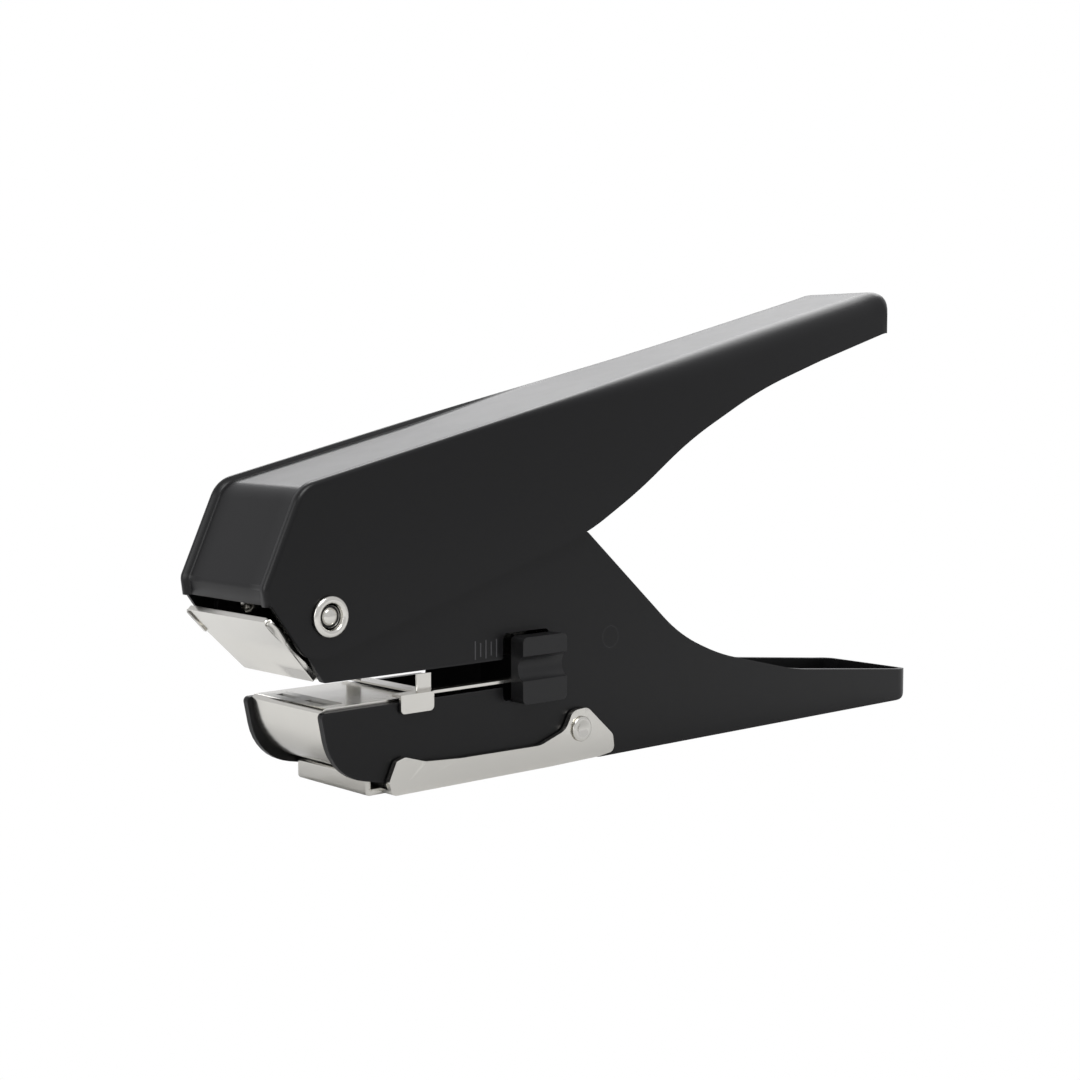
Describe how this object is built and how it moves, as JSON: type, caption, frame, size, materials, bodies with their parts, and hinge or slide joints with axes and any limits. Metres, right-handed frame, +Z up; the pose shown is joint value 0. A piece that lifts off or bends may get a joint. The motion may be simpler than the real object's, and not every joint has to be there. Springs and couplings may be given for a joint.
{
  "type": "plier stapler",
  "caption": "Black steel plier stapler with a bright pressing magazine, anvil, hinged bottom cover and depth stop.",
  "frame": {"origin": "on the frame's flat underside, on the mid-plane, halfway between the nose and the handle ends", "axes": "+X from the nose to the handle ends, +Y across to the side away from the stop knob, +Z up"},
  "size_m": [0.1679, 0.0287, 0.0881],
  "materials": {
    "black_paint": "satin",
    "nickel": "bright",
    "spring_steel": "satin",
    "black_plastic": "satin"
  },
  "bodies": {
    "root": {"frame": "black_paint", "handle_rivets": "nickel", "pivot_bushes": "nickel", "spring_seat": "nickel", "handle_spring": "spring_steel", "lever_pin": "black_paint", "lever_spring": "spring_steel", "anvil_shell": "nickel", "anvil_insert": "spring_steel", "door_rivets": "nickel"},
    "handle": {"upper_handle": "black_paint", "roller_bracket": "nickel", "roller_pin": "nickel"},
    "roller": {"pressure_roller": "spring_steel"},
    "lever": {"driver_lever": "nickel", "driver_blade": "spring_steel", "blade_rivets": "nickel"},
    "magazine": {"magazine_channel": "nickel", "front_plate": "nickel", "staple_core": "nickel", "staple_strip": "nickel", "follower_rod": "nickel", "follower_spring": "spring_steel"},
    "pusher": {"follower": "black_plastic"},
    "door": {"bottom_door": "nickel"},
    "stop": {"stop_slide": "nickel", "stop_knob": "black_plastic"}
  },
  "joints": [
    {"name": "handle_squeeze", "type": "hinge", "parent": "root", "child": "handle", "pos_m": [-0.0719, 0, 0.0313], "axis": [0, 1, 0], "range_deg": [0, 17], "stiffness_Nm_per_rad": 3, "springref_deg": -8.59, "deforming": ["handle_spring"]},
    {"name": "roller_spin", "type": "hinge", "parent": "handle", "child": "roller", "pos_m": [-0.0499, 0, 0.0387], "axis": [0, 1, 0], "continuous": true},
    {"name": "lever_press", "type": "hinge", "parent": "root", "child": "lever", "pos_m": [-0.008, 0, 0.022], "axis": [0, 1, 0], "range_deg": [-10, 0]},
    {"name": "magazine_close", "type": "hinge", "parent": "root", "child": "magazine", "pos_m": [-0.008, 0, 0.022], "axis": [0, 1, 0], "range_deg": [-3.8, 0]},
    {"name": "follower_feed", "type": "slide", "parent": "magazine", "child": "pusher", "axis": [1, 0, 0], "range_m": [0, 0.008], "stiffness_N_per_m": 100, "springref_m": -0.02},
    {"name": "door_open", "type": "hinge", "parent": "root", "child": "door", "pos_m": [-0.0167, 0, 0.0062], "axis": [0, 1, 0], "range_deg": [-45, 0]},
    {"name": "stop_adjust", "type": "slide", "parent": "root", "child": "stop", "axis": [-1, 0, 0], "range_m": [0, 0.008]}
  ],
  "couplings": [
    {"joint": "lever_press", "follows": "handle_squeeze", "ratio": -0.58824},
    {"joint": "magazine_close", "follows": "handle_squeeze", "ratio": -0.22353}
  ]
}
